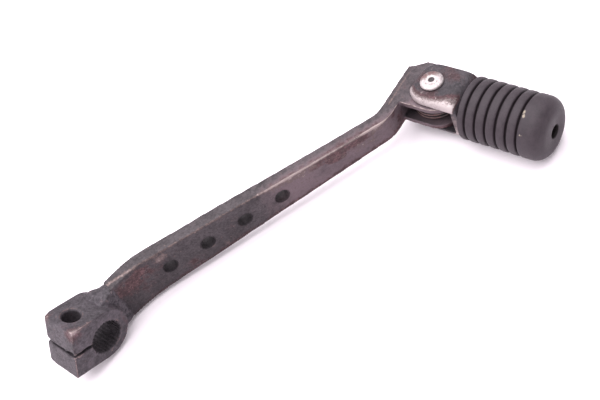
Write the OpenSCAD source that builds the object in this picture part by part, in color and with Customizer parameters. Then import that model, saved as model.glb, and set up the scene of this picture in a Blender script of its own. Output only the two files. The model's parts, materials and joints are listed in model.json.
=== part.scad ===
// Foot shift lever of a small motorcycle: a splined pinch clamp, a flat drilled arm and a folding toe peg.
// Origin: centre of the spline bore, half way along it.
// +Y runs inboard along the shaft, +X forward to the peg, +Z along the folding hinge.

/* [Clamp head] */
// Radius of the shaft bore at the tips of its spline ribs
bore_r = 6; // [5.6:0.1:6.2]
// Number of spline grooves round the bore
spline_count = 30; // [24:1:34]
// Depth of one spline groove
spline_depth = 0.5; // [0.3:0.05:0.6]
// Width of the head along the shaft
head_w = 15.4; // [14:0.1:18]
// Radius of the head's round end
head_r = 9.9; // [9.5:0.1:11]
// Height of the round end's centre above the bore
head_lift = 0.5; // [0:0.1:0.8]
// Distance from the bore to the split end face
head_back = 14.1; // [13:0.1:16]
// Angle that the head is rolled about the shaft, away from the arm
head_roll = 26.8; // [10:0.1:35]
// Width of the clamping slit
slit_w = 1.3; // [1:0.1:2]
// Distance from the bore's centre to the pinch bolt's axis
bolt_back = 7.9; // [7.5:0.1:8.5]
// Radius of the bolt's clearance hole in the upper jaw
bolt_clear_r = 3.3; // [3.1:0.1:3.5]
// Radius of the bolt's tapped hole in the lower jaw
bolt_tap_r = 2.5; // [2.1:0.1:2.6]
// Width of the chamfer round the mouth of the bolt hole
bolt_mouth = 0.7; // [0.4:0.1:1]

/* [Arm] */
// Thickness of the flat bar
arm_t = 5; // [4.5:0.1:5.6]
// Height of the bar at the clamp end
arm_root_h = 18.8; // [17:0.1:19]
// Height of the bar at the fork
arm_tip_h = 10.4; // [10.2:0.1:11]
// Distance from the bore to the bar's welded end
arm_start = 12.9; // [12:0.1:13.5]
// Angle of the bar's welded end away from square to the shaft
root_angle = 11.5; // [9:0.5:13]
// How far the weld metal stands out from the bar's sides
weld_bead = 0.6; // [0.3:0.1:1]
// Where the bar stops being full height
taper_start = 26; // [20:1:40]
// Where the bar has tapered down to the fork's height
taper_end = 114; // [100:1:116]
// Radius of the gentle bend beside the clamp
root_bend_r = 50; // [30:1:60]
// Radius of the bend before the fork
tip_bend_r = 12; // [8:1:16]
// Number of lightening holes
hole_count = 4; // [1:1:5]
// Radius of a lightening hole
hole_r = 2.95; // [2:0.05:3.2]
// Distance from the gentle bend to the first hole
hole_first = 9.8; // [8:0.1:12]
// Distance between holes
hole_pitch = 15.5; // [12:0.1:16]

/* [Fork] */
// Forward distance from the bore to the hinge
hinge_x = 135; // [134:0.5:136]
// Outboard distance from the bore to the hinge
hinge_y = 57.4; // [57:0.1:58]
// Angle of the peg forward of square to the lever
peg_tilt = 4; // [2:0.5:6]
// Distance from the hinge to the fork's front edge
fork_front = 10.1; // [9.8:0.1:10.3]
// Distance from the hinge to the fork's rear edge, and the radius of its nose
fork_rear = 9.6; // [9.2:0.1:9.8]
// Distance from the hinge to the tip of the fork's nose
fork_nose = 10.9; // [10.5:0.1:10.9]
// Thickness of one ear
fork_ear = 2; // [1.8:0.1:2.2]
// How far the bar reaches past the hinge
tip_reach = 6; // [5:0.5:6.5]

/* [Folding peg] */
// Half width of the bracket
bracket_half_w = 8.6; // [8.2:0.1:8.8]
// Thickness of the bracket's ears and web
bracket_t = 3.3; // [3:0.1:3.5]
// Clearance between the bracket and the fork
bracket_gap = 0.2; // [0.1:0.05:0.3]
// Radius on the bracket's rear edges
bracket_rear_r = 3; // [2:0.1:3.2]
// Radius on the bracket's front edges
bracket_front_r = 0.8; // [0.5:0.1:2]
// Radius of the shoulders where the ears turn into the web
shoulder_r = 5.4; // [4:0.1:6]
// Radius of the hinge rivet
rivet_r = 3; // [2.5:0.1:3.2]
// Radius of the rivet's domed head
rivet_head_r = 4.3; // [4:0.1:4.6]
// Height of the domed head
rivet_head_h = 1.3; // [1:0.1:1.5]
// Radius of the dimple in the rivet's upper head
dimple_r = 0.8; // [0.5:0.1:1.2]
// Radial running clearance of the bores round the rivet
hinge_play = 0.05; // [0.02:0.01:0.1]
// Diameter of the spring's wire
spring_wire = 1.4; // [1.2:0.1:1.4]
// Radius of the spring's coil, to the middle of the wire
spring_r = 7.5; // [7:0.1:7.7]
// Turns of the spring's coil
spring_turns = 3.25; // [2.25:1:3.25]

/* [Toe rubber] */
// Outer radius over the ribs
rubber_r = 11.5; // [11:0.1:12]
// Distance from the hinge to the rubber's far end
rubber_end = 46.2; // [45:0.1:48]
// Number of grooves
groove_count = 6; // [4:1:6]
// Distance from the rubber's near face to the first groove
groove_first = 2.9; // [2.5:0.1:3.5]
// Distance between grooves
groove_pitch = 3.95; // [3.6:0.05:4.1]
// Depth of a groove
groove_depth = 1.4; // [1:0.1:1.8]
// Radius round the rubber's far end
cap_r = 5; // [4:0.5:6]
// Radius of the hole in the rubber's far end
vent_r = 2.5; // [2:0.1:3]
// Radius of the steel stud inside the rubber
stud_r = 5; // [4.5:0.1:5.5]
// Radius of the stud's retaining collar
collar_r = 6.5; // [6:0.1:7]
// Thickness of the rubber past the stud's end
rubber_floor = 6; // [5:0.5:8]

/* [Hidden] */
$fn = 96;
STEEL = "#5a5158";
WORN_STEEL = "#8d8489";
RUST = "#6b4a40";
RUBBER = "#3b363a";
// Length of a cutter that goes right through
CUT = 100;

hinge = [hinge_x, -hinge_y];
fork_gap_half = arm_tip_h / 2 - fork_ear;
web_in = fork_nose + bracket_gap;
web_out = web_in + bracket_t;
bracket_in_z = arm_tip_h / 2 + bracket_gap;
bracket_out_z = bracket_in_z + bracket_t;
stud_len = rubber_end - rubber_floor - web_out;
stud_fillet = 1.6;
collar_len = 3;
collar_inset = 2;
spring_pitch = spring_wire + 0.06;
spring_h = spring_pitch * spring_turns;

// Centre line of the arm: corners of its path, seen from above, and the bar's inboard face from the hinge
inboard_face = 14.1;
root_corner = [25.2, -3.75];
tip_corner = [116.8, -47.05];
arm_root = [arm_start, root_corner[1] + tan(root_angle) * (root_corner[0] - arm_start)];
bar_centre = inboard_face - arm_t / 2;
arm_tip = hinge + tip_reach * along(peg_tilt) + bar_centre * left_of(peg_tilt);

function along(heading) = [cos(heading), sin(heading)];
function left_of(heading) = [-sin(heading), cos(heading)];
function heading(from, to) = atan2(to[1] - from[1], to[0] - from[0]);

// Points and headings through the round bend at corner b of the path a, b, c
function bend(a, b, c, r, steps) =
    let (h1 = heading(a, b), turn = heading(b, c) - h1, side = sign(turn))
    let (start = b - r * tan(abs(turn) / 2) * along(h1))
    let (centre = start + side * r * left_of(h1))
    [for (k = [0:steps]) let (h = h1 + turn * k / steps) [centre - side * r * left_of(h), h]];

// Points of a round corner from angle a0 to a1
function arc(centre, r, a0, a1, steps) =
    [for (k = [0:steps]) centre + r * along(a0 + (a1 - a0) * k / steps)];

arm_line = concat(
    [[arm_root, heading(arm_root, root_corner)]],
    bend(arm_root, root_corner, tip_corner, root_bend_r, 6),
    bend(root_corner, tip_corner, arm_tip, tip_bend_r, 8),
    [[arm_tip, peg_tilt]]);

module at_hinge() {
    translate([hinge[0], hinge[1], 0]) rotate([0, 0, peg_tilt]) children();
}

// Turns a solid drawn along +Z so that it runs along the peg
module along_peg() {
    at_hinge() rotate([90, 0, 0]) children();
}

// Rectangle with round corners, of radius r on its left and right_r on its right
module rounded_rect(half_w, half_h, r, right_r) {
    translate([-half_w, -half_h + r]) square([half_w, 2 * (half_h - r)]);
    translate([0, -half_h + right_r]) square([half_w, 2 * (half_h - right_r)]);
    translate([-half_w + r, -half_h]) square([2 * half_w - r - right_r, 2 * half_h]);
    for (side = [-1, 1]) {
        translate([r - half_w, side * (half_h - r)]) circle(r);
        translate([half_w - right_r, side * (half_h - right_r)]) circle(right_r);
    }
}

// Clamp head, drawn in its own rolled frame: x along the slit, z along the pinch bolt
module head_frame() {
    rotate([0, head_roll, 0]) children();
}

module head_outline() {
    translate([0, head_lift]) circle(head_r);
    translate([-head_back, head_lift - head_r]) square([head_back, 2 * head_r]);
}

module head_block() {
    head_frame() rotate([90, 0, 0]) linear_extrude(head_w, center = true) head_outline();
}

// Round bore with a ring of narrow grooves that open into it
module spline_bore() {
    pitch = 360 / spline_count;
    root_r = bore_r + spline_depth;
    open_r = bore_r - 0.5;
    open_half = pitch / 4;
    root_half = pitch / 7;
    cylinder(r = bore_r, h = CUT, center = true);
    for (k = [0:spline_count - 1])
        rotate([0, 0, k * pitch]) linear_extrude(CUT, center = true)
            polygon([
                open_r * along(-open_half), root_r * along(-root_half),
                root_r * along(root_half), open_r * along(open_half)]);
}

module clamp_head() {
    color(STEEL) difference() {
        head_block();
        head_frame() {
            rotate([90, 0, 0]) spline_bore();
            translate([-CUT / 2, 0, 0]) cube([CUT, CUT, slit_w], center = true);
            translate([-bolt_back, 0, 0]) {
                cylinder(r = bolt_clear_r, h = CUT);
                translate([0, 0, -CUT]) cylinder(r = bolt_tap_r, h = CUT);
                translate([0, 0, head_lift + head_r - bolt_mouth])
                    cylinder(r1 = bolt_clear_r, r2 = bolt_clear_r + 2 * bolt_mouth, h = 2 * bolt_mouth);
            }
        }
    }
}

// Weld metal that fills the space between the head's round end and the bar's square end
module head_weld() {
    back = 11;
    dip_x = 8;
    dip = 0.9;
    crown = 0.5;
    foot = arm_t / 2 + weld_bead;
    flare = foot + 1.8;
    far = arm_start + arm_t;
    root_z = arm_root_h / 2;
    color(STEEL) difference() {
        intersection() {
            translate([arm_root[0], arm_root[1], 0]) rotate([0, 0, -root_angle])
                linear_extrude(CUT, center = true)
                    polygon([[-back, -flare], [0, -foot], [0, foot], [-back, flare]]);
            rotate([90, 0, 0]) linear_extrude(CUT, center = true)
                polygon([
                    [0, -root_z], [arm_start, weld_bead - root_z], [far, weld_bead - root_z],
                    [far, root_z - weld_bead], [dip_x, root_z - dip], [0, root_z + crown]]);
        }
        head_block();
        head_frame() rotate([90, 0, 0]) cylinder(r = head_r - 1, h = CUT, center = true);
    }
}

module arm_plan() {
    half = arm_t / 2;
    last = len(arm_line) - 1;
    polygon(concat(
        [for (p = arm_line) p[0] - half * left_of(p[1])],
        [for (k = [last:-1:0]) arm_line[k][0] + half * left_of(arm_line[k][1])]));
}

// Plan of the fork's ears about the hinge: a square front corner that the bracket's web stops against,
// and a round rear side that the web swings past
module ear_plan() {
    corner = 1;
    slope = 3.5;
    polygon(concat(
        [[-fork_rear, bar_centre]],
        arc([0, fork_rear - fork_nose], fork_rear, 180, 270, 12),
        [[fork_front - corner, -fork_nose], [fork_front, corner - fork_nose],
         [fork_front, bar_centre - slope], [tip_reach + 1.3, bar_centre], [tip_reach, inboard_face]]));
}

// Side view of the bar, which tapers from the clamp to the fork
module arm_profile() {
    root_z = arm_root_h / 2;
    tip_z = arm_tip_h / 2;
    far = hinge_x + CUT;
    polygon([
        [0, -root_z], [taper_start, -root_z], [taper_end, -tip_z], [far, -tip_z],
        [far, tip_z], [taper_end, tip_z], [taper_start, root_z], [0, root_z]]);
}

module arm_holes() {
    bar_heading = heading(root_corner, tip_corner);
    translate([root_corner[0], root_corner[1], 0]) rotate([0, 0, bar_heading])
        for (k = [0:hole_count - 1])
            translate([hole_first + k * hole_pitch, 0, 0]) rotate([90, 0, 0])
                cylinder(r = hole_r, h = 4 * arm_t, center = true);
}

module fork_slot() {
    side = fork_front + 2;
    translate([-side, inboard_face - arm_t - CUT, -fork_gap_half]) cube([2 * side, CUT, 2 * fork_gap_half]);
}

module arm() {
    color(STEEL) difference() {
        union() {
            intersection() {
                linear_extrude(CUT, center = true) arm_plan();
                rotate([90, 0, 0]) linear_extrude(3 * CUT, center = true) arm_profile();
            }
            at_hinge() linear_extrude(arm_tip_h, center = true) ear_plan();
        }
        at_hinge() {
            fork_slot();
            cylinder(r = rivet_r + hinge_play, h = CUT, center = true);
        }
        arm_holes();
    }
}

// Rivet that the peg folds about: a plain shank between two domed heads, dimpled on top
module hinge_rivet() {
    shank = bracket_out_z + 0.1;
    rim = 0.4;
    slope = 1.5;
    dimple = 0.8;
    top = shank + rivet_head_h;
    color(WORN_STEEL) at_hinge() difference() {
        union() {
            cylinder(r = rivet_r, h = 2 * shank, center = true);
            for (side = [0, 1])
                mirror([0, 0, side]) translate([0, 0, shank]) {
                    cylinder(r = rivet_head_r, h = rim);
                    translate([0, 0, rim])
                        cylinder(r1 = rivet_head_r, r2 = rivet_head_r - slope, h = rivet_head_h - rim);
                }
        }
        translate([0, 0, top - dimple]) cylinder(r1 = 0, r2 = 2 * dimple_r, h = 2 * dimple);
    }
}

// Sleeve that keeps the fork's ears apart and carries the spring
module spacer_sleeve() {
    color(STEEL) at_hinge() difference() {
        cylinder(r = rivet_r + 1.4, h = 2 * fork_gap_half - 0.05, center = true);
        cylinder(r = rivet_r + hinge_play, h = CUT, center = true);
    }
}

// Centre of the spring's wire, t from 0 to 1 round the coil, with a straight leg at each end
function spring_point(t) =
    let (a = -90 + 360 * spring_turns * t)
    [spring_r * cos(a), spring_r * sin(a), spring_h * (t - 0.5)];

module torsion_spring() {
    sides = 8;
    steps = 72;
    leg = 1.6;
    centres = concat(
        [spring_point(0) - [leg, 0, 0]],
        [for (k = [0:steps]) spring_point(k / steps)],
        [spring_point(1) + [0, leg, 0]]);
    count = len(centres);
    ring = [for (k = [0:count - 1])
        let (before = centres[max(0, k - 1)], after = centres[min(count - 1, k + 1)])
        let (ahead = (after - before) / norm(after - before))
        let (across = cross(ahead, [0, 0, 1]) / norm(cross(ahead, [0, 0, 1])), up = cross(across, ahead))
        for (j = [0:sides - 1])
            centres[k] + spring_wire / 2 * (cos(360 * j / sides) * across + sin(360 * j / sides) * up)];
    walls = [for (k = [0:count - 2], j = [0:sides - 1])
        [k * sides + j, k * sides + (j + 1) % sides,
         (k + 1) * sides + (j + 1) % sides, (k + 1) * sides + j]];
    ends = [[for (j = [sides - 1:-1:0]) j], [for (j = [0:sides - 1]) (count - 1) * sides + j]];
    color(RUST) at_hinge() polyhedron(ring, concat(walls, ends), convexity = 10);
}

// Outline of the bracket across the peg, with its rear edges on the left
module bracket_section() {
    rounded_rect(bracket_half_w, bracket_out_z, bracket_rear_r, bracket_front_r);
}

// Yoke that straddles the fork: two ears with round ends, and a web across their outboard ends.
// The rear rounding fades out round the ears' ends, because its own round is wider and set forward.
module peg_bracket() {
    long = web_out + bracket_half_w;
    forward = 5;
    color(STEEL) difference() {
        intersection() {
            union() {
                along_peg() linear_extrude(web_out) bracket_section();
                at_hinge() rotate_extrude() intersection() {
                    rounded_rect(bracket_half_w, bracket_out_z, bracket_front_r, bracket_front_r);
                    translate([0, -CUT / 2]) square([CUT, CUT]);
                }
            }
            union() {
                along_peg() linear_extrude(web_out) bracket_section();
                at_hinge() translate([forward, 0, 0]) rotate_extrude() intersection() {
                    rounded_rect(bracket_half_w + forward, bracket_out_z, bracket_rear_r, bracket_rear_r);
                    translate([0, -CUT / 2]) square([CUT, CUT]);
                }
            }
            at_hinge() rotate([90, 0, 90]) linear_extrude(CUT, center = true)
                translate([(bracket_half_w - web_out) / 2, 0])
                    rounded_rect(long / 2, bracket_out_z, shoulder_r, shoulder_r);
        }
        at_hinge() {
            translate([0, CUT / 2 - web_in, 0]) cube([CUT, CUT, 2 * bracket_in_z], center = true);
            cylinder(r = rivet_r + hinge_play, h = CUT, center = true);
        }
    }
}

// Bar with a retaining collar, from the web's outer face; the rubber is hollowed to the same shape
module stud_shape() {
    cylinder(r = stud_r, h = stud_len);
    translate([0, 0, stud_len - collar_inset - collar_len]) cylinder(r = collar_r, h = collar_len);
}

// Round bar that carries the rubber, with a collar that holds it on
module peg_stud() {
    color(STEEL) along_peg() translate([0, 0, web_out]) stud_shape();
}

// Weld fillet round the stud's foot
module stud_weld() {
    color(STEEL) along_peg() translate([0, 0, web_out]) difference() {
        cylinder(r1 = stud_r + stud_fillet, r2 = stud_r, h = stud_fillet);
        cylinder(r = stud_r, h = CUT, center = true);
    }
}

// Half section of the rubber: ribs, then a plain cap with a round end
module rubber_section() {
    length = rubber_end - web_out;
    foot_cut = 0.6;
    groove_shape = [[-0.7, 0], [-0.35, 0.3], [-0.25, 0.9], [0, 1], [0.25, 0.9], [0.35, 0.3], [0.7, 0]];
    polygon(concat(
        [[0, 0], [rubber_r - foot_cut, 0], [rubber_r, foot_cut]],
        [for (k = [0:groove_count - 1], p = groove_shape)
            [rubber_r - groove_depth * p[1], groove_first + k * groove_pitch + p[0]]],
        arc([rubber_r - cap_r, length - cap_r], cap_r, 0, 90, 8),
        [[0, length]]));
}

module toe_rubber() {
    weld_room = stud_fillet + 0.1;
    color(RUBBER) along_peg() translate([0, 0, web_out]) difference() {
        rotate_extrude() rubber_section();
        cylinder(r1 = stud_r + weld_room, r2 = stud_r, h = weld_room);
        stud_shape();
        cylinder(r = vent_r, h = CUT);
    }
}

clamp_head();
head_weld();
arm();
hinge_rivet();
spacer_sleeve();
torsion_spring();
peg_bracket();
peg_stud();
stud_weld();
toe_rubber();
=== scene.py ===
"""A worn foot shift lever: splined clamp head, drilled arm and a folding toe peg with a ribbed rubber.

Every shaped piece starts from its CAD node or from the frame's own sizes, so it lies where the CAD part lies.
Blender's lengths are in metres. Shapes and wear are worked out in millimetres, and MM turns those into metres.
"""

import json
import math

import bmesh
import bpy
import numpy as np
from mathutils import Matrix, Vector


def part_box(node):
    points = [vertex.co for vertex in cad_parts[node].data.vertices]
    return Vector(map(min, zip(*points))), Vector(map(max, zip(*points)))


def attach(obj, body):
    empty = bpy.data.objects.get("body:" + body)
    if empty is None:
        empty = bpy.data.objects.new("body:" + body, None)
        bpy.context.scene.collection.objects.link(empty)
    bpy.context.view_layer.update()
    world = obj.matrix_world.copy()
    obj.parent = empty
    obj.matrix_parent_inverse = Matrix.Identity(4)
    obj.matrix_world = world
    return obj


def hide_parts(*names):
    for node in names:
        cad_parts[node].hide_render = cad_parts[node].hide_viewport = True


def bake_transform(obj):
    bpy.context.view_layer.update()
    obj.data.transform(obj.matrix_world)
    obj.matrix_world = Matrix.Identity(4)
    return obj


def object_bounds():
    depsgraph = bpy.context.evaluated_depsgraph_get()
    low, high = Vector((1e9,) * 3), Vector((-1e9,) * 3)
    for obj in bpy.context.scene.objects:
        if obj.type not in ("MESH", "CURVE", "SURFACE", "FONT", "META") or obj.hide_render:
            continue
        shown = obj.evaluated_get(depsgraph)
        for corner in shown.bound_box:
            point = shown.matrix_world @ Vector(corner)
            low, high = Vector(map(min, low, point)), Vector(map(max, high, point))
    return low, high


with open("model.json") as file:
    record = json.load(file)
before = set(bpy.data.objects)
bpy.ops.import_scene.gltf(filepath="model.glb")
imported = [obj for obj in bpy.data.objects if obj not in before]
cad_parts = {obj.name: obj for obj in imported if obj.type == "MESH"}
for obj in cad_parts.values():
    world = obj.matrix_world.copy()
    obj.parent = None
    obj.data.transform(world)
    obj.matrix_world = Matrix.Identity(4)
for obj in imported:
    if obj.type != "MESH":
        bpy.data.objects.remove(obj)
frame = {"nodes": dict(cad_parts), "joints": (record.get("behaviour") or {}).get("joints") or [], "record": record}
cad_low, cad_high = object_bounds()

MM = 0.001
UP = np.array([0, 0, 1.0])

# the photo's view: it looks at target, with its angles in degrees and its lens in millimetres
CAMERA = {"target": (0.07655, -0.03715, 0), "distance": 0.3936, "heading": 29.93, "elevation": 50.68,
          "roll": -28.42, "lens": 67.1}
# name, place, width and height, watts, colour
SOFTBOXES = [("overhead", (0.1, 0.3, 1.3), (2.2, 2.2), 50, (1, 0.99, 1)),
             ("left", (-0.8, 0.45, 0.4), (0.7, 0.5), 4, (1, 0.97, 0.98))]
MIDDLE = (0.075, -0.04, 0)
FLOOR_HALF = 3

# the folding peg's own axes
HINGE = np.array(frame["joints"][0]["pos_m"])
PEG_TILT = math.radians(4)
PEG_FORWARD = np.array([math.cos(PEG_TILT), math.sin(PEG_TILT), 0])
PEG_OUT = np.array([math.sin(PEG_TILT), -math.cos(PEG_TILT), 0])

# the head is rolled about its shaft, so that its pinch bolt lies along HEAD_UP, BOLT_BACK mm behind the shaft
MOUNTS = {m["name"]: m for m in frame["record"]["mounts"]}
HEAD_UP = np.array(MOUNTS["bolt_clearance"]["axis"])
HEAD_FORWARD = np.array([HEAD_UP[2], 0, -HEAD_UP[0]])
BOLT_BACK = 7.9

# the bar's axes at its root bend; its faces lie BAR_FACE mm to either side of its middle, and its half height
# falls by BAR_TAPER over BAR_TAPER_LENGTH, from BAR_TAPER_START mm in front of the shaft
BAR_ROOT = np.array([25.2, -3.75, 0]) * MM
BAR_ALONG = np.array([0.90408, -0.42737, 0])
BAR_OUT = np.array([-0.42737, -0.90408, 0])
BAR_FACE = 2.5
BAR_ROOT_HALF, BAR_TAPER, BAR_TAPER_START, BAR_TAPER_LENGTH = 9.4, 4.2, 26, 88
HOLES, HOLE_FIRST, HOLE_PITCH, HOLE_R = 4, 9.8, 15.5, 2.95

# specks of dirt on the rubber: mm from its near end, degrees round it, size in mm
DIRT = [(23.4, 75, 0.9), (23.9, 67, 0.75), (24.3, 34.6, 0.45)]

# each steel's dark and pale finish, its bare metal, and its least roughness
STEELS = {
    "clamp_steel": ((0.038, 0.031, 0.037), (0.074, 0.062, 0.073), (0.3, 0.235, 0.235), 0.5),
    "weld_metal": ((0.03, 0.025, 0.03), (0.062, 0.052, 0.062), (0.24, 0.21, 0.23), 0.44),
    "bar_steel": ((0.032, 0.025, 0.029), (0.062, 0.051, 0.057), (0.32, 0.255, 0.25), 0.44),
    "bracket_steel": ((0.03, 0.0245, 0.0295), (0.053, 0.044, 0.052), (0.42, 0.36, 0.365), 0.42),
    "rivet_metal": ((0.06, 0.042, 0.045), (0.13, 0.1, 0.105), (0.49, 0.435, 0.445), 0.42),
    "spring_wire": ((0.045, 0.034, 0.035), (0.1, 0.076, 0.074), (0.3, 0.235, 0.22), 0.4),
    "inner_metal": ((0.03, 0.024, 0.023), (0.06, 0.05, 0.046), (0.2, 0.17, 0.16), 0.5),
}
# the colour of painted shade in holes, slots, creases and between parts
PAINTED_SHADE = (0.021, 0.0175, 0.0215)
RUBBER_DARK, RUBBER_PALE = (0.031, 0.0225, 0.0285), (0.047, 0.0355, 0.043)
# rubber pores, dust, and the colour of painted shade in the grooves and hole
RUBBER_PORE, RUBBER_DUST, RUBBER_PAINTED_SHADE = (0.018, 0.013, 0.016), (0.3, 0.25, 0.2), (0.01, 0.007, 0.008)


# ---------------------------------------------------------------- camera, floor and light

def set_camera(target, distance, heading, elevation, roll, lens):
    """Camera that looks at target. Heading runs from +Y towards +X; roll turns the picture about the view."""
    heading, elevation, roll = (math.radians(angle) for angle in (heading, elevation, roll))
    level = math.cos(elevation)
    forward = Vector((math.sin(heading) * level, math.cos(heading) * level, -math.sin(elevation)))
    right = forward.cross(Vector(UP)).normalized()
    right.rotate(Matrix.Rotation(-roll, 3, forward))
    up = right.cross(forward)
    data = bpy.data.cameras.new("camera")
    data.lens = lens
    data.sensor_width = 36
    data.clip_start, data.clip_end = 0.01, 20
    camera = bpy.data.objects.new("camera", data)
    camera.matrix_world = Matrix((
        (right.x, up.x, -forward.x, 0), (right.y, up.y, -forward.y, 0),
        (right.z, up.z, -forward.z, 0), (0, 0, 0, 1)))
    camera.location = Vector(target) - distance * forward
    bpy.context.scene.collection.objects.link(camera)
    bpy.context.scene.camera = camera


def softbox(name, place, size, watts, colour):
    data = bpy.data.lights.new(name, "AREA")
    data.shape = "RECTANGLE"
    data.size, data.size_y = size
    data.energy = watts
    data.color = colour
    light = bpy.data.objects.new(name, data)
    light.location = place
    light.rotation_euler = (Vector(MIDDLE) - Vector(place)).to_track_quat("-Z", "Y").to_euler()
    bpy.context.scene.collection.objects.link(light)


def studio():
    scene = bpy.context.scene
    scene.view_settings.view_transform = "Standard"
    world = bpy.data.worlds.new("studio")
    world.use_nodes = True
    background = world.node_tree.nodes["Background"]
    background.inputs["Color"].default_value = (1, 0.97, 1, 1)
    background.inputs["Strength"].default_value = 0.72
    scene.world = world

    mesh = bpy.data.meshes.new("floor")
    corners = [(x * FLOOR_HALF, y * FLOOR_HALF, 0) for x, y in ((-1, -1), (1, -1), (1, 1), (-1, 1))]
    mesh.from_pydata(corners, [], [(0, 1, 2, 3)])
    floor = add_object(mesh, "floor")
    floor.location = (0, 0, cad_low.z)
    paint = bpy.data.materials.new("pale_floor")
    paint.use_nodes = True
    shader = paint.node_tree.nodes["Principled BSDF"]
    # the floor glows faintly, a painted light that lifts the shadows on it
    for socket, value in (("Base Color", (0.93, 0.865, 0.915, 1)), ("Roughness", 0.9), ("Specular IOR Level", 0.2),
                          ("Emission Color", (1, 0.93, 0.97, 1)), ("Emission Strength", 0.05)):
        shader.inputs[socket].default_value = value
    mesh.materials.append(paint)

    for box in SOFTBOXES:
        softbox(*box)


# ---------------------------------------------------------------- sums over points

def smoothstep(x, low, high):
    """0 below low, 1 above high, and an easy rise between."""
    t = np.clip((x - low) / (high - low), 0, 1)
    return t * t * (3 - 2 * t)


def fall(x, low, high):
    """1 below low, 0 above high, and an easy fall between."""
    return 1 - smoothstep(x, low, high)


def hump(x, centre, width):
    """1 at the centre, falling away smoothly over the width."""
    return np.exp(-((x - centre) / width) ** 2)


def blob(spread, *offsets):
    """1 where all the offsets from its centre are 0, falling away round it. Spread is a width squared."""
    return np.exp(-sum(offset ** 2 for offset in offsets) / spread)


def field(points, size, seed):
    """Smooth random value from -1 to 1 at each point, which changes over so many millimetres."""
    cell = points / (size * MM)
    low = np.floor(cell).astype(np.int64)
    part = cell - low
    part = part * part * (3 - 2 * part)
    total = np.zeros(len(points))
    for corner in np.ndindex(2, 2, 2):
        key = (low + np.array(corner)) * np.array([73856093, 19349663, 83492791])
        mixed = key[:, 0] ^ key[:, 1] ^ key[:, 2] ^ (seed * 2654435761)
        mixed = (mixed ^ (mixed >> 13)) * 1274126177
        mixed = (mixed ^ (mixed >> 16)) & 0xFFFF
        share = np.where(corner, part, 1 - part).prod(axis=1)
        total += share * (mixed / 32767.5 - 1)
    return total


def local(points, origin, *axes):
    """Each point's distances along the axes from the origin, in millimetres."""
    return ((points - origin) @ np.array(axes).T / MM).T


def head_axes(points):
    """Forward, inboard and up in the rolled head."""
    return local(points, 0, HEAD_FORWARD, (0, 1.0, 0), HEAD_UP)


def bar_axes(points):
    """Along the bar, out towards the rider's foot, and up."""
    return local(points, BAR_ROOT, BAR_ALONG, BAR_OUT, UP)


def peg_axes(points, start=HINGE):
    """Forward, out along the peg, and up."""
    return local(points, start, PEG_FORWARD, PEG_OUT, UP)


def bar_half(along):
    """Half height of the bar at a distance along it from its root bend."""
    forward = along * BAR_ALONG[0] + BAR_ROOT[0] / MM
    return BAR_ROOT_HALF - BAR_TAPER * np.clip((forward - BAR_TAPER_START) / BAR_TAPER_LENGTH, 0, 1)


# ---------------------------------------------------------------- mesh tools

def add_object(mesh, name):
    piece = bpy.data.objects.new(name, mesh)
    bpy.context.scene.collection.objects.link(piece)
    return piece


def coords(mesh):
    co = np.empty(len(mesh.vertices) * 3)
    mesh.vertices.foreach_get("co", co)
    return co.reshape(-1, 3)


def set_coords(mesh, co):
    mesh.vertices.foreach_set("co", co.ravel())
    mesh.update()


def normals(mesh):
    n = np.empty(len(mesh.vertices) * 3)
    mesh.vertex_normals.foreach_get("vector", n)
    return n.reshape(-1, 3)


def raised(mesh, co, height):
    """The points moved outward along the mesh's normals by so many millimetres each."""
    return co + normals(mesh) * (height * MM)[:, None]


def store(mesh, **layers):
    """Keeps a value for each vertex under each name, for the material to read. A name left out reads as 0."""
    for name, values in layers.items():
        layer = mesh.attributes.new(name, "FLOAT", "POINT")
        layer.data.foreach_set("value", values.astype(np.float32))


class Links:
    """Which vertices an edge joins, for averaging a value over each vertex's neighbours."""

    def __init__(self, mesh):
        edges = np.empty(len(mesh.edges) * 2, np.int64)
        mesh.edges.foreach_get("vertices", edges)
        self.a, self.b = edges.reshape(-1, 2).T
        self.count = len(mesh.vertices)
        self.degree = np.maximum(np.bincount(edges, minlength=self.count), 1)

    def mean_of(self, values):
        if values.ndim == 2:
            return np.stack([self.mean_of(column) for column in values.T], axis=1)
        total = np.bincount(self.a, values[self.b], self.count) + np.bincount(self.b, values[self.a], self.count)
        return total / self.degree

    def relaxed(self, values, rounds, strength=0.5):
        """Values after so many rounds of moving each towards its neighbours' mean.

        The strength may differ by vertex."""
        if values.ndim == 2 and not np.isscalar(strength):
            strength = strength[:, None]
        for _ in range(rounds):
            values = values + strength * (self.mean_of(values) - values)
        return values


def convexity(mesh, links, blur):
    """How far each vertex stands proud of its neighbours, in edge lengths, spread over a few of them."""
    co = coords(mesh)
    reach = np.linalg.norm(co[links.a] - co[links.b], axis=1).mean()
    proud = ((co - links.mean_of(co)) * normals(mesh)).sum(axis=1) / reach
    return links.relaxed(proud, blur)


def joined(mesh, gap):
    """Joins the mesh's vertices that lie within so many millimetres of each other."""
    shape = bmesh.new()
    shape.from_mesh(mesh)
    bmesh.ops.remove_doubles(shape, verts=shape.verts, dist=gap * MM)
    return shape


def node_copy(node):
    """Closed copy of a CAD node's mesh, without its materials."""
    mesh = frame["nodes"][node].data.copy()
    shape = joined(mesh, 0.001)
    shape.to_mesh(mesh)
    shape.free()
    mesh.materials.clear()
    return mesh


def even_skin(mesh, name, voxel):
    """Piece with the mesh's surface rebuilt from even quads of about the voxel's size in millimetres."""
    piece = add_object(mesh, name)
    remesh = piece.modifiers.new("skin", "REMESH")
    remesh.mode = "VOXEL"
    remesh.voxel_size = voxel * MM
    depsgraph = bpy.context.evaluated_depsgraph_get()
    skin = bpy.data.meshes.new_from_object(piece.evaluated_get(depsgraph))
    piece.modifiers.clear()
    piece.data = skin
    bpy.data.meshes.remove(mesh)
    skin.name = name
    skin.shade_smooth()
    return piece


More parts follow.
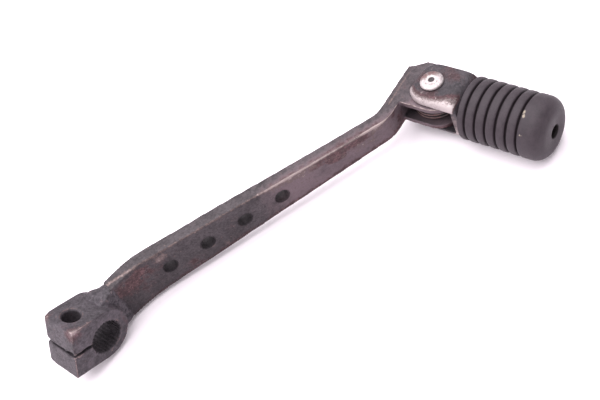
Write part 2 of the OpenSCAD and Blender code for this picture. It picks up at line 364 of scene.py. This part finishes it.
def lathe(name, profile, start, axis, side, segments, closed):
    """Piece turned from (radius, distance along the axis) pairs in millimetres.

    A closed profile ends where it began."""
    profile = np.array(profile) * MM
    turns = np.arange(segments) * 2 * math.pi / segments
    spokes = np.outer(np.cos(turns), side) + np.outer(np.sin(turns), np.cross(axis, side))
    points = start + profile[:, None, 1:2] * axis + profile[:, None, 0:1] * spokes[None]
    rows = len(profile)
    faces = []
    for i in range(rows if closed else rows - 1):
        here, after = i * segments, (i + 1) % rows * segments
        faces += [(here + j, here + (j + 1) % segments, after + (j + 1) % segments, after + j)
                  for j in range(segments)]
    mesh = bpy.data.meshes.new(name)
    mesh.from_pydata(points.reshape(-1, 3).tolist(), [], faces)
    shape = joined(mesh, 0.0005)
    bmesh.ops.recalc_face_normals(shape, faces=shape.faces)
    shape.to_mesh(mesh)
    shape.free()
    mesh.shade_smooth()
    return add_object(mesh, name)


def tube(name, centres, radius, sides):
    """Closed round tube along a list of points."""
    ahead = np.gradient(centres, axis=0)
    ahead /= np.linalg.norm(ahead, axis=1)[:, None]
    across = np.cross(ahead, UP)
    across /= np.linalg.norm(across, axis=1)[:, None]
    over = np.cross(across, ahead)
    turns = np.arange(sides) * 2 * math.pi / sides
    rings = (centres[:, None] + radius * (np.cos(turns)[None, :, None] * across[:, None]
                                          + np.sin(turns)[None, :, None] * over[:, None]))
    last = (len(centres) - 1) * sides
    faces = [(i + j, i + (j + 1) % sides, i + sides + (j + 1) % sides, i + sides + j)
             for i in range(0, last, sides) for j in range(sides)]
    faces += [tuple(range(sides - 1, -1, -1)), tuple(range(last, last + sides))]
    mesh = bpy.data.meshes.new(name)
    mesh.from_pydata(rings.reshape(-1, 3).tolist(), [], faces)
    mesh.shade_smooth()
    return add_object(mesh, name)


# ---------------------------------------------------------------- materials

class Paint:
    """One node material whose patterns are laid out in the piece's own millimetres."""

    def __init__(self, name):
        self.material = bpy.data.materials.new(name)
        self.material.use_nodes = True
        self.tree = self.material.node_tree
        self.shader = self.tree.nodes["Principled BSDF"]
        place = self.tree.nodes.new("ShaderNodeTexCoord")
        scale = self.tree.nodes.new("ShaderNodeVectorMath")
        scale.operation = "SCALE"
        scale.inputs["Scale"].default_value = 1 / MM
        self.tree.links.new(place.outputs["Object"], scale.inputs[0])
        self.place = scale.outputs["Vector"]

    def put(self, socket, value):
        if isinstance(value, bpy.types.NodeSocket):
            self.tree.links.new(value, socket)
        else:
            socket.default_value = value

    def noise(self, size, detail, roughness=0.5):
        node = self.tree.nodes.new("ShaderNodeTexNoise")
        self.put(node.inputs["Vector"], self.place)
        for name, value in (("Scale", 1 / size), ("Detail", detail), ("Roughness", roughness)):
            node.inputs[name].default_value = value
        return node.outputs["Fac"]

    def stored(self, *names):
        """The values that the mesh stores under these names."""
        for name in names:
            node = self.tree.nodes.new("ShaderNodeAttribute")
            node.attribute_name = name
            yield node.outputs["Fac"]

    def maths(self, operation, a, b):
        node = self.tree.nodes.new("ShaderNodeMath")
        node.operation = operation
        for socket, value in zip(node.inputs, (a, b)):
            self.put(socket, value)
        return node.outputs[0]

    def plus(self, value, other, share=1.0):
        """The value with a share of another added."""
        return self.maths("ADD", value, other if share == 1 else self.maths("MULTIPLY", other, share))

    def shaken(self, value, noise, share):
        """The value with a share of a noise added, which leaves its mean alone."""
        return self.plus(value, self.maths("SUBTRACT", noise, 0.5), share)

    def ramp(self, value, low, high, to_low=0.0, to_high=1.0):
        """Value eased from low..high to to_low..to_high."""
        node = self.tree.nodes.new("ShaderNodeMapRange")
        node.interpolation_type = "SMOOTHSTEP"
        for name, number in (("Value", value), ("From Min", low), ("From Max", high),
                             ("To Min", to_low), ("To Max", to_high)):
            self.put(node.inputs[name], number)
        return node.outputs["Result"]

    def blend(self, share, a, b):
        """Colour a where the share is 0, and b where it is 1."""
        node = self.tree.nodes.new("ShaderNodeMix")
        node.data_type = "RGBA"
        self.put(node.inputs["Factor"], share)
        for socket, colour in ((node.inputs[6], a), (node.inputs[7], b)):
            self.put(socket, (*colour, 1) if isinstance(colour, tuple) else colour)
        return node.outputs[2]

    def bump(self, height, depth):
        node = self.tree.nodes.new("ShaderNodeBump")
        self.put(node.inputs["Height"], height)
        node.inputs["Distance"].default_value = depth * MM
        return node.outputs["Normal"]

    def finish(self, **sockets):
        for name, value in sockets.items():
            self.put(self.shader.inputs[name.replace("_", " ")], value)
        return self.material


def tinted(colour, *shares):
    """The colour with all channels multiplied by one share, or each by its own."""
    return tuple(share * channel for share, channel in zip(shares * (3 // len(shares)), colour))


def worn_steel(name):
    """Dark finish that is mottled, reddish in patches, and rubbed through brown to bare metal.

    The mesh says where, through its wear, rust, fade and shade values. The shade value darkens the colour with
    painted shade."""
    dark, pale, bare, smooth = STEELS[name]
    paint = Paint(name)
    wear, rust, shade, fade = paint.stored("wear", "rust", "shade", "fade")
    broad = paint.noise(9, 4)
    mottle = paint.noise(2.4, 6, 0.65)
    grain = paint.noise(0.8, 4, 0.7)
    fine = paint.noise(0.38, 3, 0.7)

    colour = paint.blend(paint.ramp(mottle, 0.32, 0.68), dark, pale)
    colour = paint.blend(paint.ramp(broad, 0.4, 0.7, 0, 0.5), colour, tinted(pale, 1.35))
    colour = paint.blend(paint.ramp(grain, 0.48, 0.68, 0, 0.6), colour, tinted(dark, 0.45))
    colour = paint.blend(paint.ramp(grain, 0.42, 0.3, 0, 0.4), colour, tinted(pale, 1.8))

    faded = paint.shaken(fade, mottle, 0.8)
    colour = paint.blend(paint.ramp(faded, 0.1, 1.1, 0, 0.9), colour, tinted(pale, 2.5, 2.15, 2.2))

    rust_tone = paint.blend(paint.ramp(paint.plus(grain, mottle), 1.1, 0.8),
                            tinted(dark, 1.25, 0.55, 0.54), tinted(pale, 2.1, 1.2, 1.15))
    rusty = paint.shaken(rust, mottle, 1.8)
    colour = paint.blend(paint.ramp(rusty, 0.1, 0.75, 0, 0.85), colour, rust_tone)

    worn = wear
    for noise, share in ((grain, 1.1), (fine, 0.85), (mottle, 0.8)):
        worn = paint.shaken(worn, noise, share)
    nicks = paint.ramp(paint.noise(1.3, 0), 0.76, 0.82, 0, 0.35)
    worn = paint.plus(worn, nicks)
    scuffed = tuple(0.4 * p + 0.26 * b for p, b in zip(pale, bare))
    colour = paint.blend(paint.ramp(worn, 0.2, 0.5), colour, tinted(scuffed, 1.08, 0.95, 0.92))
    colour = paint.blend(paint.ramp(worn, 0.45, 1.0), colour, bare)
    # painted shade: the colour darkens where the mesh's shade value is high
    colour = paint.blend(paint.ramp(shade, 0, 1, 0, 0.9), colour, PAINTED_SHADE)

    rough = paint.plus(paint.ramp(grain, 0.3, 0.7, smooth, smooth + 0.14), shade, 0.35)
    rough = paint.maths("SUBTRACT", rough, paint.ramp(worn, 0.4, 1, 0, 0.08))
    height = paint.plus(paint.maths("MULTIPLY", mottle, 0.6), grain, 0.5)
    return paint.finish(Base_Color=colour, Roughness=rough, Metallic=paint.ramp(worn, 0.1, 0.9, 0.4, 0.6),
                        Specular_IOR_Level=0.38, Normal=paint.bump(height, 0.25))


def rubber_paint():
    """Dull mottled rubber. The mesh says where painted shade darkens it in its grooves, hole and near end, and
    where it is dusty.
    """
    paint = Paint("rubber")
    dust, shade = paint.stored("dust", "shade")
    mottle = paint.noise(2.6, 5, 0.65)
    grain = paint.noise(0.5, 4, 0.75)
    colour = paint.blend(paint.ramp(mottle, 0.3, 0.7), RUBBER_DARK, RUBBER_PALE)
    colour = paint.blend(paint.ramp(grain, 0.45, 0.75, 0, 0.4), colour, RUBBER_PORE)
    colour = paint.blend(paint.ramp(paint.plus(dust, grain, 1.3), 1.1, 1.6), colour, RUBBER_DUST)
    # painted shade in the grooves, the vent hole and at the near end
    colour = paint.blend(paint.ramp(shade, 0, 1, 0, 0.97), colour, RUBBER_PAINTED_SHADE)
    return paint.finish(Base_Color=colour, Roughness=paint.ramp(mottle, 0.3, 0.7, 0.5, 0.64),
                        Specular_IOR_Level=0.28, Normal=paint.bump(grain, 0.05))


def dress(piece, paint, body, slot, *nodes):
    """Gives the piece its material, hides the CAD nodes it stands for, and hangs it on its body if it names one.
    """
    piece.data.materials.clear()
    piece.data.materials.append(paint)
    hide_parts(*nodes)
    if body:
        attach(piece, body)


# ---------------------------------------------------------------- the pieces
# Each function shapes its piece, then says where it is worn, faded and rusty, and where painted shade darkens it.
# Places on the axes are in mm.

def clamp():
    piece = even_skin(node_copy("clamp_head"), "clamp", 0.2)
    mesh = piece.data
    links = Links(mesh)
    co = links.relaxed(coords(mesh), 5)
    # the end face's far top corner is rubbed rounder than the others
    forward, inboard, up = head_axes(co)
    corner = smoothstep(-forward, 11, 13.5) * smoothstep(inboard, 4.2, 7)
    co = links.relaxed(co, 60, corner)
    set_coords(mesh, co)

    forward, inboard, up = head_axes(co)
    radius = np.hypot(forward, up)
    bolt = np.hypot(forward + BOLT_BACK, inboard)
    mouth = smoothstep(np.abs(inboard), 6.9, 7.4)
    outside = np.maximum(smoothstep(radius, 6.7, 7), mouth * smoothstep(radius, 6.1, 6.5))
    outside *= smoothstep(bolt, 3.35, 3.6)
    slit = smoothstep(-forward, 5, 6) * fall(np.abs(up), 0.5, 0.75)
    lip = smoothstep(-forward, 6, 8) * fall(np.abs(up), 0.9, 1.7) * smoothstep(-forward - inboard, 14, 18)
    waves = 0.07 * field(co, 5, 3) + 0.025 * field(co, 1.5, 4)
    burr = lip * (0.6 * field(co, 1.6, 5) - 0.18)
    set_coords(mesh, raised(mesh, co, outside * waves + burr))

    proud = convexity(mesh, links, 2)
    n = normals(mesh)
    tip = smoothstep(-forward, 1, 11) * smoothstep(-inboard, 5.5, 7.2)
    low = smoothstep(-forward, 10, 13) * smoothstep(-inboard, 6, 7) * smoothstep(-up, 0, 2)
    rim = hump(np.abs(inboard), 7.6, 0.8) * smoothstep(up, 8.5, 9.6) * smoothstep(-forward, 3, 6)
    near = blob(5, forward + 13.8, inboard + 7.5) * blob(6, up - 10.4)
    far = blob(5, forward + 13.6, inboard - 6.4, up - 9.6)
    ring = hump(bolt, 3.95, 0.3) * smoothstep(up, 8, 9.5)
    ring += hump(radius, 6.75, 0.35) * mouth * smoothstep(forward, -2, 3)
    wear = smoothstep(proud, 0.03, 0.15) * (0.14 + 0.42 * tip + 0.3 * low) + 0.33 * ring
    wear += 0.5 * near + 0.42 * far + 0.38 * rim * tip
    boss = smoothstep(-n[:, 1], 0.4, 0.8) * smoothstep(forward, 3, 8) * smoothstep(radius, 7.2, 8.6)
    rust = 0.75 * blob(12, forward + 13.5, inboard + 6.8) * blob(9, up - 8.6) + 0.6 * far + 0.22 * boss
    # painted shade in the bore, the bolt hole, the slit and the creases
    dark = 0.3 * (1 - outside) + slit + 0.35 * smoothstep(-proud, 0.03, 0.15)
    store(mesh, wear=wear * outside * (1 - slit), rust=np.clip(rust, 0, 1), shade=np.clip(dark, 0, 1))
    dress(piece, worn_steel("clamp_steel"), "lever", "head_steel", "clamp_head")


def weld():
    """Smooth skin over the head, the weld and the bar's root, sunk out of sight away from the weld."""
    bore = 7.8
    shape = bmesh.new()
    for node in ("clamp_head", "head_weld", "arm"):
        shape.from_mesh(node_copy(node))
    bmesh.ops.create_cone(shape, cap_ends=True, segments=48, radius1=bore * MM, radius2=bore * MM,
                          depth=15.3 * MM, matrix=Matrix.Rotation(math.pi / 2, 4, "X"))
    for x, side in ((2, -1), (25, 1)):
        parts = shape.verts[:] + shape.edges[:] + shape.faces[:]
        cut = bmesh.ops.bisect_plane(shape, geom=parts, plane_co=(x * MM, 0, 0), plane_no=(side, 0, 0),
                                     clear_outer=True)
        rim = [e for e in cut["geom_cut"] if isinstance(e, bmesh.types.BMEdge)]
        bmesh.ops.holes_fill(shape, edges=rim)
    mesh = bpy.data.meshes.new("weld")
    shape.to_mesh(mesh)
    shape.free()

    piece = even_skin(mesh, "weld_bead", 0.22)
    mesh = piece.data
    links = Links(mesh)
    co = links.relaxed(coords(mesh), 34)
    set_coords(mesh, co)
    x, y, z = co.T / MM
    n = normals(mesh)
    spill = 3.2 * smoothstep(np.maximum(n[:, 1], -n[:, 2]), 0.2, 0.7)
    zone = smoothstep(x, 4.5, 8.5) * fall(x - spill, 12.6, 14.4) * fall(np.abs(y), 5.6, 7.3)
    lumps = 0.2 + 0.4 * field(co, 3.1, 11) + 0.48 * field(co, 1.5, 12) + 0.16 * field(co, 0.8, 13)
    lumps += 0.7 * blob(6, x - 8, y - 4.5, z - 8.3)
    lumps += 0.5 * blob(3, x - 10.6, y + 1.8, z - 8.5)
    lumps -= 0.7 * blob(4, x - 11.6, y - 2.4, z - 8.6)
    co = raised(mesh, co, zone * lumps - 0.7 * (1 - zone))
    # whatever lies in the bore is pushed out of it, into the head
    reach = np.hypot(co[:, 0], co[:, 2])
    co[:, [0, 2]] *= np.maximum(bore * MM / np.maximum(reach, 0.1 * MM), 1)[:, None]
    set_coords(mesh, links.relaxed(co, 3))

    proud = convexity(mesh, links, 2)
    # the lumps' crowns are rubbed paler, and their hollows get painted shade
    store(mesh, wear=0.34 * smoothstep(proud, 0.02, 0.11), shade=0.6 * smoothstep(-proud, 0.01, 0.1))
    dress(piece, worn_steel("weld_metal"), "lever", "weld_steel", "head_weld")


def arm():
    piece = even_skin(node_copy("arm"), "arm_bar", 0.3)
    mesh = piece.data
    links = Links(mesh)
    co = coords(mesh)
    # each round smooths the voxels' steps away, then swells the bar back to its size
    for _ in range(4):
        co = links.relaxed(links.relaxed(co, 1), 1, -0.52)
    set_coords(mesh, co)
    # the outer face's top edge is rubbed round, most of all at the root; other edges are drawn out crisp
    along, out, up = bar_axes(co)
    half = bar_half(along)
    root = fall(along, -2, 14)
    rim = blob(0.4 + 1.4 * root, out - BAR_FACE, up - half)
    co = links.relaxed(co, 22, np.clip(rim * (0.25 + root), 0, 1))
    set_coords(mesh, co)
    n = normals(mesh)
    crisp = smoothstep(convexity(mesh, links, 1), 0.05, 0.2) * (1 - np.clip(2 * rim, 0, 1))
    co = raised(mesh, co, 0.14 * crisp)
    # the root half stands a little taller than the CAD bar
    swell = 0.38 * smoothstep(along, -14, 0) * fall(along, 40, 62) * np.clip(up / half, 0, 1) ** 2
    co[:, 2] += swell * MM
    set_coords(mesh, co)
    half = half + swell

    along, out, up = bar_axes(co)
    x, y, z = co.T / MM
    bar = fall(x, 112, 122)
    waves = 0.08 * field(co, 9, 21) + 0.03 * field(co, 2.5, 22)
    dent = -0.5 * blob(14, along + 9, up + 2) * smoothstep(n @ BAR_OUT, 0.3, 0.8)
    hole = np.min([np.hypot(along - HOLE_FIRST - k * HOLE_PITCH, up) for k in range(HOLES)], axis=0)
    inside = fall(hole, HOLE_R, HOLE_R + 0.25)
    set_coords(mesh, raised(mesh, co, bar * waves + dent + 0.2 * inside))

    proud = convexity(mesh, links, 1)
    n = normals(mesh)
    face = smoothstep(n @ BAR_OUT, 0.2, 0.8)
    rubbed = smoothstep(n @ BAR_OUT, 0.3, 0.9)
    tip = smoothstep(along, 40, 62)
    fine = field(co, 1.0, 26)
    broken = 0.65 + 0.5 * field(co, 3.5, 24) + 0.22 * fine
    # the long edge, a patch and a spot on the outer face, and the other edges
    line = hump(out, BAR_FACE, 0.55) * hump(up, half, 0.55)
    wide = hump(out, 2.3, 1.1) * hump(up, half - 0.3, 1.2) * root * (0.85 + 0.5 * fine)
    patch = hump(along, 8.5, 3.4) * hump(up, 6.6, 1.7) * rubbed * (1.3 + 0.4 * fine)
    spot = blob(2, along - 31, up + 5.8) * rubbed
    edge = smoothstep(proud, 0.04, 0.2)
    inboard_top = smoothstep(n[:, 1], 0.2, 0.5) * smoothstep(n[:, 2], 0.2, 0.5)
    wear = (0.52 - 0.15 * root) * line * bar + 0.3 * wide + 0.5 * patch + 0.45 * spot
    wear += edge * (0.3 * smoothstep(x, 118, 124) + 0.06 + 0.14 * inboard_top)
    crest = hump(out, 2.35, 0.42) * hump(up, half - 0.15, 0.42)
    wear += 0.7 * crest * tip * bar * (0.75 + 0.4 * field(co, 6, 25))
    # a painted highlight line along the fork's inboard top, where its edge would turn down in a bevel; the holes'
    # lower rims, and the fork's outer top edge
    bevel_highlight_y = HINGE[1] / MM + 12.5 + 0.089 * (x - HINGE[0] / MM)
    bevel_highlight = hump(y, bevel_highlight_y, 0.5) * smoothstep(n[:, 2], 0.6, 0.9)
    wear += 0.42 * bevel_highlight * smoothstep(x, 116, 124) * fall(x, 137, 141)
    wear += 0.12 * hump(hole, 3.2, 0.3) * smoothstep(-up, 0, 2)
    ridge = hump(z, 5.25, 0.4) * smoothstep(proud, 0.01, 0.05)
    wear += ridge * smoothstep(-n[:, 1], 0.1, 0.4) * smoothstep(x, 106, 110) * fall(x, 122, 124)
    wear += 0.8 * ridge * smoothstep(-n[:, 0], 0.1, 0.4) * smoothstep(x, 122, 124) * smoothstep(-y, 48, 51)
    # the pale haze on the far half's outer face
    haze = (hump(along, 59, 8) + hump(along, 97, 4)) * smoothstep(up, half - 4, half - 1)
    haze += hump(along, 89, 7) * hump(up, half - 5, 1.6)
    haze += 0.9 * hump(along, 72, 12) * hump(up, half - 2.2, 1.4)
    wear += face * (0.52 * broken + 0.1 * fine) * haze
    wear += 0.2 * face * tip * np.clip(fine, 0, 1.5) * smoothstep(up, -half, 0)

    across = (1 - face) * (0.5 * smoothstep(out, -1.8, 2) - 0.1)
    drift = 1 + 0.3 * field(co, 6, 27) + 0.12 * fine
    fade = tip * (0.3 + 0.6 * face * drift + across) + 0.1 * (1 - face)

    # the root, the far half's upper band, the fork's start, the top's outer half, the lower edge, and all over
    rust = 1.5 * face * broken * hump(along, -2.5, 9) * hump(up, 3.5, 5.5)
    depth = 3.2 + 2.6 * hump(along, 80, 5)
    band = smoothstep(up, half - depth - 1, half - depth + 1) * fall(up, half - 1, half - 0.5)
    rust += 1.5 * face * broken * band * smoothstep(along, 66, 73) * fall(along, 91, 96)
    rust += 0.7 * broken * hump(x, 121, 4) * smoothstep(-n[:, 1], 0.1, 0.5)
    rust += 0.55 * (1 - face) * tip * broken * hump(out, 1.4, 0.9)
    rust += 0.55 * face * hump(along, 17.5, 4) * hump(up, -5, 2.5)
    rust += (0.5 + 0.3 * tip) * face * smoothstep(-up, half - 2.5, half)
    rust += 0.25 * np.clip(field(co, 11, 23), 0, 1)

    # painted shade in the holes, in the fork's slot and in creases, less on the slot's lower face;
    # the outer face is darkened all along by painted shade, most behind the root bend low down
    slot = fall(-peg_axes(co)[1], 8.7, 9.3) * smoothstep(x, 122, 125) * fall(np.abs(up), 3.1, 3.5)
    slot *= 1 - 0.75 * smoothstep(n[:, 2], 0.5, 0.9) * smoothstep(x, 124, 129)
    dark = 0.55 * inside + 0.9 * slot + 0.4 * smoothstep(-proud, 0.03, 0.15)
    dark += face * (0.3 * fall(along, -11, -4) * fall(up, 0, 8) + 0.2)
    store(mesh, wear=wear, fade=fade, rust=np.clip(rust, 0, 1), shade=np.clip(dark, 0, 1))
    dress(piece, worn_steel("bar_steel"), "lever", "arm_steel", "arm")


def bracket():
    piece = even_skin(node_copy("peg_bracket"), "bracket", 0.2)
    mesh = piece.data
    links = Links(mesh)
    co = coords(mesh)
    # the ears' rear edges and their ends over the rivet are rubbed rounder
    forward, out, up = peg_axes(co)
    worn = smoothstep(np.abs(up), 5.5, 6.3) * smoothstep(-forward, 1.5, 5) + 0.6 * smoothstep(-out, 2, 5)
    co = links.relaxed(co, 5)
    co = links.relaxed(co, 45, np.clip(worn, 0, 1) * smoothstep(np.abs(up), 6, 7.2))
    set_coords(mesh, co)

    forward, out, up = peg_axes(co)
    outer = smoothstep(np.max([np.abs(up) - 8.2, out - 13.8, np.abs(forward) - 8.1], axis=0), 0, 0.3)
    waves = 0.06 * field(co, 4, 31) + 0.02 * field(co, 1.2, 32)
    set_coords(mesh, raised(mesh, co, outer * waves))

    proud = convexity(mesh, links, 2)
    top = smoothstep(up, 4.8, 6)
    radius = np.hypot(forward, np.minimum(out, 0))
    inside = fall(np.maximum(np.abs(up) - 5.5, out - 11.2), 0, 0.25)
    # a bare band follows the top's rear edge and widens towards the web
    rim = np.where(out > 0, -forward, radius * smoothstep(-forward, -2, 4))
    spread = 3.5 + 0.14 * np.clip(out, -4, 12) + 3.6 * smoothstep(out, 5, 10.5)
    band = smoothstep(rim, 8.6 - spread, 8.5) * top * fall(out, 12.0, 12.8)
    foot = hump(out, 12.2, 2.1) * smoothstep(-forward, 5.5, 7.5) * fall(up, 3, 6)
    foot *= 0.45 + 0.55 * fall(up, -6, -1)
    lip = hump(radius, 8.1, 0.45) * (out < 0) * smoothstep(up, 7.5, 8.3)
    wear = band ** 1.7 * (1 - 0.55 * smoothstep(field(co, 0.9, 34), 0.8, 1.5))
    wear += 0.35 * smoothstep(proud, 0.04, 0.14) + 0.9 * foot + 0.28 * lip
    fade = 0.35 * blob(9, forward - 6.5, out - 8) * top
    rust = 0.9 * hump(band, 0.36, 0.24) * top + 0.6 * np.clip(field(co, 5, 33), 0, 1)
    # painted shade between the ears and in creases
    dark = 0.85 * inside + 0.5 * smoothstep(-proud, 0.03, 0.15)
    store(mesh, wear=wear * (1 - inside), fade=fade, rust=np.clip(rust, 0, 1), shade=np.clip(dark, 0, 1))
    dress(piece, worn_steel("bracket_steel"), "toe_peg", "yoke_steel", "peg_bracket")


def rivet():
    low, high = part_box("hinge_rivet")
    top = (high.z - low.z) / 2 / MM
    head_r, shank_r, head_h, flank_h, dome_h = 4.3, 2.96, 1.3, 0.35, 0.95
    seat = top - head_h
    dome = [(head_r - 0.12, seat), (head_r, seat + 0.15), (head_r, seat + flank_h)]
    dome += [(head_r - 1.9 * (1 - math.cos(a)), seat + flank_h + dome_h * math.sin(a))
             for a in np.linspace(0.15, math.pi / 2, 14)]
    dimple = [(1.5, 0), (1.22, 0.04), (1.1, 0.16), (1.04, 0.42), (0.9, 0.6), (0, 0.65)]
    dimple = [(r, top - depth) for r, depth in dimple]
    under = [(0, -top)] + [(r, -z) for r, z in reversed(dome)]
    # two rings close to the shank's ends keep it straight when the surface is subdivided
    shank = [(shank_r, z) for z in (-seat, 0.1 - seat, seat - 0.1, seat)]
    piece = lathe("rivet", under + shank + dome + dimple, HINGE, UP, np.array([1.0, 0, 0]), 160, False)
    mesh = piece.data
    fine = piece.modifiers.new("fine", "SUBSURF")
    fine.levels = fine.render_levels = 1

    co = coords(mesh)
    forward, out, up = peg_axes(co)
    head = smoothstep(np.abs(up), seat, seat + 0.2)
    set_coords(mesh, raised(mesh, co, 0.04 * head * field(co, 1.6, 41)))
    away = forward - out
    radius = np.hypot(forward, out)
    pits = smoothstep(field(co, 0.9, 42), 0.75, 1.4)
    wear = np.where(up > 0, 0.84, 0.4) - 0.55 * smoothstep(away, 0.3, 4.4) + 0.4 * hump(radius, 1.42, 0.22)
    # the dimple gets painted shade
    store(mesh, wear=np.clip(wear - 0.8 * pits, 0, 1), rust=0.7 * smoothstep(away, 0, 3.5),
          shade=0.85 * fall(radius, 1.0, 1.2) * (up > 0))
    dress(piece, worn_steel("rivet_metal"), "lever", "rivet_steel", "hinge_rivet")


def spring():
    turns, radius, wire, gap, steps = 3.25, 7.85, 1.3, 0.25, 180
    height = (wire + gap) * turns
    share = np.arange(steps + 1) / steps
    angle = math.radians(-90) + 2 * math.pi * turns * share
    coil = np.stack([radius * np.cos(angle), radius * np.sin(angle), height * (share - 0.5)], axis=1)
    first_leg = coil[0] - [(1.6, 0, 0), (0.8, 0, 0)]
    last_leg = coil[-1] + [(0, 0.8, 0), (0, 1.6, 0)]
    centres = np.concatenate([first_leg, coil, last_leg]) @ np.array([PEG_FORWARD, -PEG_OUT, UP])
    piece = tube("spring", HINGE + centres * MM, wire / 2 * MM, 16)
    mesh = piece.data
    patches = field(coords(mesh), 2.5, 45)
    # the wire's upper and lower flanks, between the turns, get painted shade
    flank = smoothstep(np.abs(normals(mesh)[:, 2]), 0.35, 0.7)
    store(mesh, wear=(0.34 + 0.2 * patches) * (1 - flank), rust=0.5 + 0.3 * patches, shade=flank)
    dress(piece, worn_steel("spring_wire"), None, "spring_steel", "torsion_spring")
    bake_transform(piece)


def rubber():
    outer, near, far = 11.5, 14.4, 46.2
    depth, cap, bore, vent, wall = 1.4, 5.0, 5.0, 2.5, 6
    length = far - near
    grooves = [2.9 + 3.95 * k for k in range(6)]
    stations = [np.arange(0, 0.9, 0.1)] + [g + np.linspace(-1.9, 1.9, 39) for g in grooves] + [[length - cap]]
    stations = np.unique(np.round(np.concatenate(stations), 3))
    gap = np.min([np.abs(stations - g) for g in grooves], axis=0)
    # each groove is a narrow cut, and its upper 0.4 mm flares
    dip = (depth - 0.4) * np.exp(-((gap / 0.36) ** 4)) + 0.4 * hump(gap, 0, 0.75)
    foot = 0.7 * np.clip(1 - stations / 0.8, 0, 1) ** 2
    profile = [(bore, 0.0), (outer - 2, 0.0)] + list(zip(outer - dip - foot, stations))
    profile += [(outer - cap + cap * math.cos(a), length - cap + cap * math.sin(a))
                for a in np.linspace(0.05, math.pi / 2, 24)]
    profile += [(vent + 0.25, length), (vent + 0.05, length - 0.12), (vent, length - 0.35),
                (vent, length - wall), (bore, length - wall)]
    start = HINGE + PEG_OUT * near * MM
    piece = lathe("rubber_sleeve", profile, start, PEG_OUT, UP, 180, True)
    mesh = piece.data

    co = coords(mesh)
    forward, out, up = peg_axes(co, start)
    radius = np.hypot(forward, up)
    skin = smoothstep(radius, 8, 9)
    set_coords(mesh, raised(mesh, co, skin * (0.06 * field(co, 6, 51) - 0.06)))
    sunk = smoothstep(outer - radius, 0.25, 1.1) * fall(out, length - 7, length - 6) * skin
    hole = fall(radius, 2.52, 2.68) * smoothstep(out, length - 7, length - 6.5)
    near_face = fall(out, 0, 0.5)
    angle = np.arctan2(up, -forward)
    dust = sum(blob(size ** 2, out - place, (angle - math.radians(turned)) * outer)
               for place, turned, size in DIRT)
    # painted shade in the grooves, in the vent hole, and on the near end where it meets the bracket
    dark = 0.75 * sunk + hole + 0.5 * near_face
    store(mesh, shade=np.clip(dark, 0, 1), dust=np.clip(dust, 0, 1) + 0.25 * sunk)
    dress(piece, rubber_paint(), "toe_peg", "rubber", "toe_rubber")


def hidden_steel():
    """The CAD nodes that are out of sight keep their own meshes, in the model's steel."""
    paint = worn_steel("inner_metal")
    for node in ("spacer_sleeve", "peg_stud", "stud_weld"):
        mesh = frame["nodes"][node].data
        mesh.materials.clear()
        mesh.materials.append(paint)


set_camera(**CAMERA)
studio()
clamp()
weld()
arm()
bracket()
rivet()
spring()
rubber()
hidden_steel()
